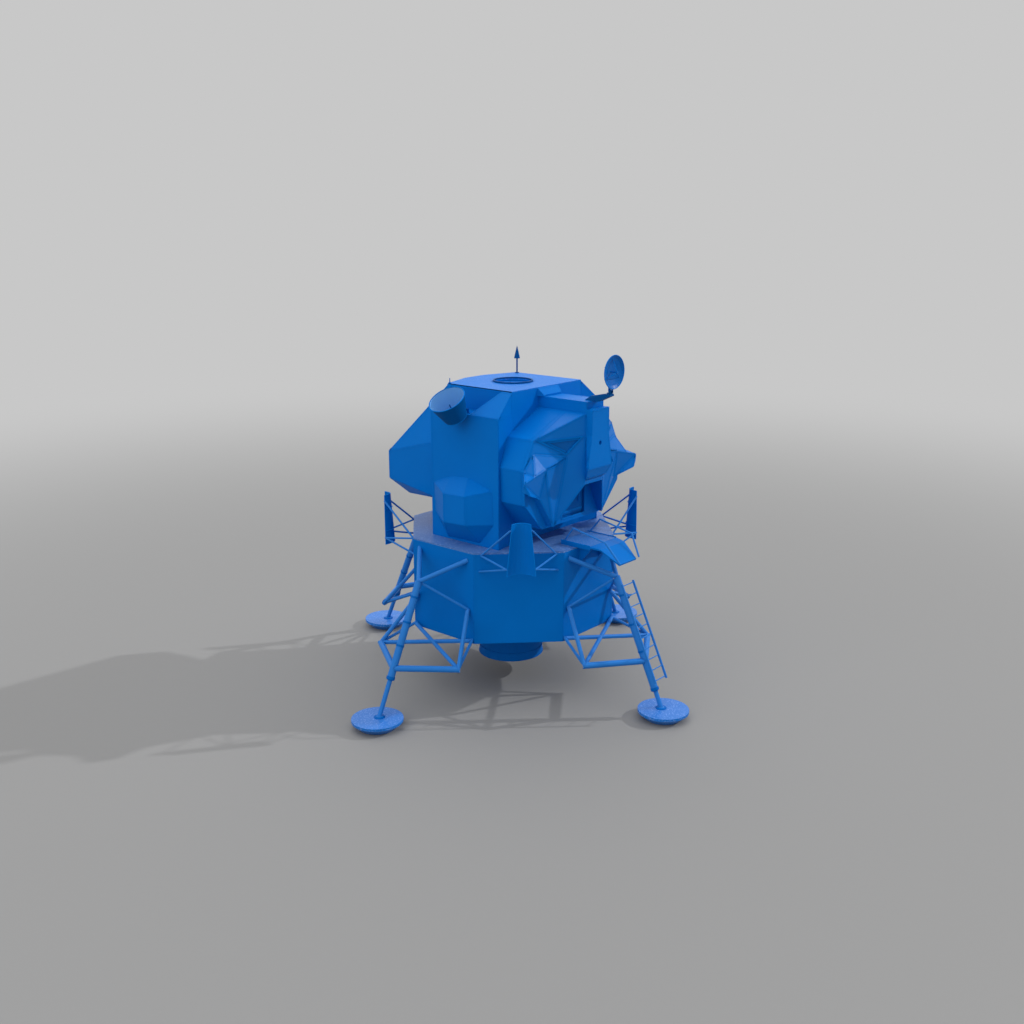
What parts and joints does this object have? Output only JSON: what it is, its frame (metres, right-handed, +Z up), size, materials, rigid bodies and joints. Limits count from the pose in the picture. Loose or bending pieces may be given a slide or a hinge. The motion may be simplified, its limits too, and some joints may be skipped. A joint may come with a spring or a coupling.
{
  "type": "lunar module",
  "caption": "Two-stage crewed lunar lander on braced legs with round footpads, a faceted cabin, hinged hatches, aimed antennas and a gimballed engine.",
  "frame": {"origin": "on the ground under the centre of the descent stage", "axes": "+Z up, -Y forward to the ladder and windows, +X to the lander's port side"},
  "size_m": [9.45, 9.45, 7.44],
  "materials": {
    "bell": "matt blue paint",
    "deck": "matt blue paint",
    "deflector": "matt blue paint",
    "dish": "matt blue paint",
    "fitting": "matt blue paint",
    "hatch": "matt blue paint",
    "hull": "matt blue paint",
    "pad": "matt blue paint",
    "pane": "dark tinted glass",
    "skin": "matt blue paint",
    "strut": "matt blue paint",
    "tank": "matt blue paint",
    "tube": "matt blue paint"
  },
  "bodies": {
    "lander": {"aft_bay": "skin", "bay_aft": "hull", "bay_front": "hull", "bay_port": "hull", "bay_stbd": "hull", "cabin_front": "skin", "cabin_shell": "skin", "corner_bays": "hull", "deflector_struts": "tube", "descent_deck": "deck", "docking_ring": "hatch", "engine_mounts": "fitting", "eva_antenna": "fitting", "footpads": "pad", "front_bulkhead": "skin", "ladder": "tube", "leg_trusses": "tube", "midsection": "skin", "nose_column": "skin", "outriggers": "tube", "plume_deflectors": "deflector", "porch": "deck", "porch_rails": "tube", "primary_strut_aft": "strut", "primary_strut_front": "strut", "primary_strut_port": "strut", "primary_strut_stbd": "strut", "radar_base": "fitting", "radar_beam": "skin", "roof_panel": "deck", "sband_base": "fitting", "secondary_struts_aft": "strut", "secondary_struts_front": "strut", "secondary_struts_port": "strut", "secondary_struts_stbd": "strut", "side_bay_port": "skin", "side_bay_stbd": "skin", "tank_port": "tank", "tank_stbd": "tank", "window_panes": "pane"},
    "gimbal_ring": {"gimbal_ring": "fitting"},
    "engine": {"engine_block": "bell", "engine_bell": "bell"},
    "forward_hatch": {"forward_hatch": "hatch"},
    "docking_hatch": {"docking_hatch": "hatch"},
    "radar_yoke": {"radar_yoke": "fitting"},
    "radar_dish": {"radar_dish": "dish"},
    "sband_yoke": {"sband_yoke": "fitting"},
    "sband_dish": {"sband_dish": "dish"}
  },
  "joints": [
    {"name": "engine_gimbal_pitch", "type": "hinge", "parent": "lander", "child": "gimbal_ring", "pos_m": [0, 0, 2.35], "axis": [1, 0, 0], "range_deg": [-6, 6]},
    {"name": "engine_gimbal_yaw", "type": "hinge", "parent": "gimbal_ring", "child": "engine", "pos_m": [0, 0, 2.35], "axis": [0, 1, 0], "range_deg": [-6, 6]},
    {"name": "forward_hatch_hinge", "type": "hinge", "parent": "lander", "child": "forward_hatch", "pos_m": [-0.422, -1.67, 4.33], "axis": [0, 0, 1], "range_deg": [0, 90]},
    {"name": "docking_hatch_hinge", "type": "hinge", "parent": "lander", "child": "docking_hatch", "pos_m": [0, 0.382, 6.587], "axis": [1, 0, 0], "range_deg": [0, 75]},
    {"name": "radar_azimuth", "type": "hinge", "parent": "lander", "child": "radar_yoke", "pos_m": [0, -2.64, 6.66], "axis": [0, 0, 1], "range_deg": [-70, 70]},
    {"name": "radar_elevation", "type": "hinge", "parent": "radar_yoke", "child": "radar_dish", "pos_m": [0, -2.67, 6.712], "axis": [1, 0, 0], "range_deg": [-20, 60]},
    {"name": "sband_azimuth", "type": "hinge", "parent": "lander", "child": "sband_yoke", "pos_m": [-1.575, -0.13, 6.2], "axis": [0, 0, 1], "range_deg": [-12, 12]},
    {"name": "sband_elevation", "type": "hinge", "parent": "sband_yoke", "child": "sband_dish", "pos_m": [-1.575, -0.13, 6.25], "axis": [0, 1, 0], "range_deg": [-5, 30]}
  ]
}
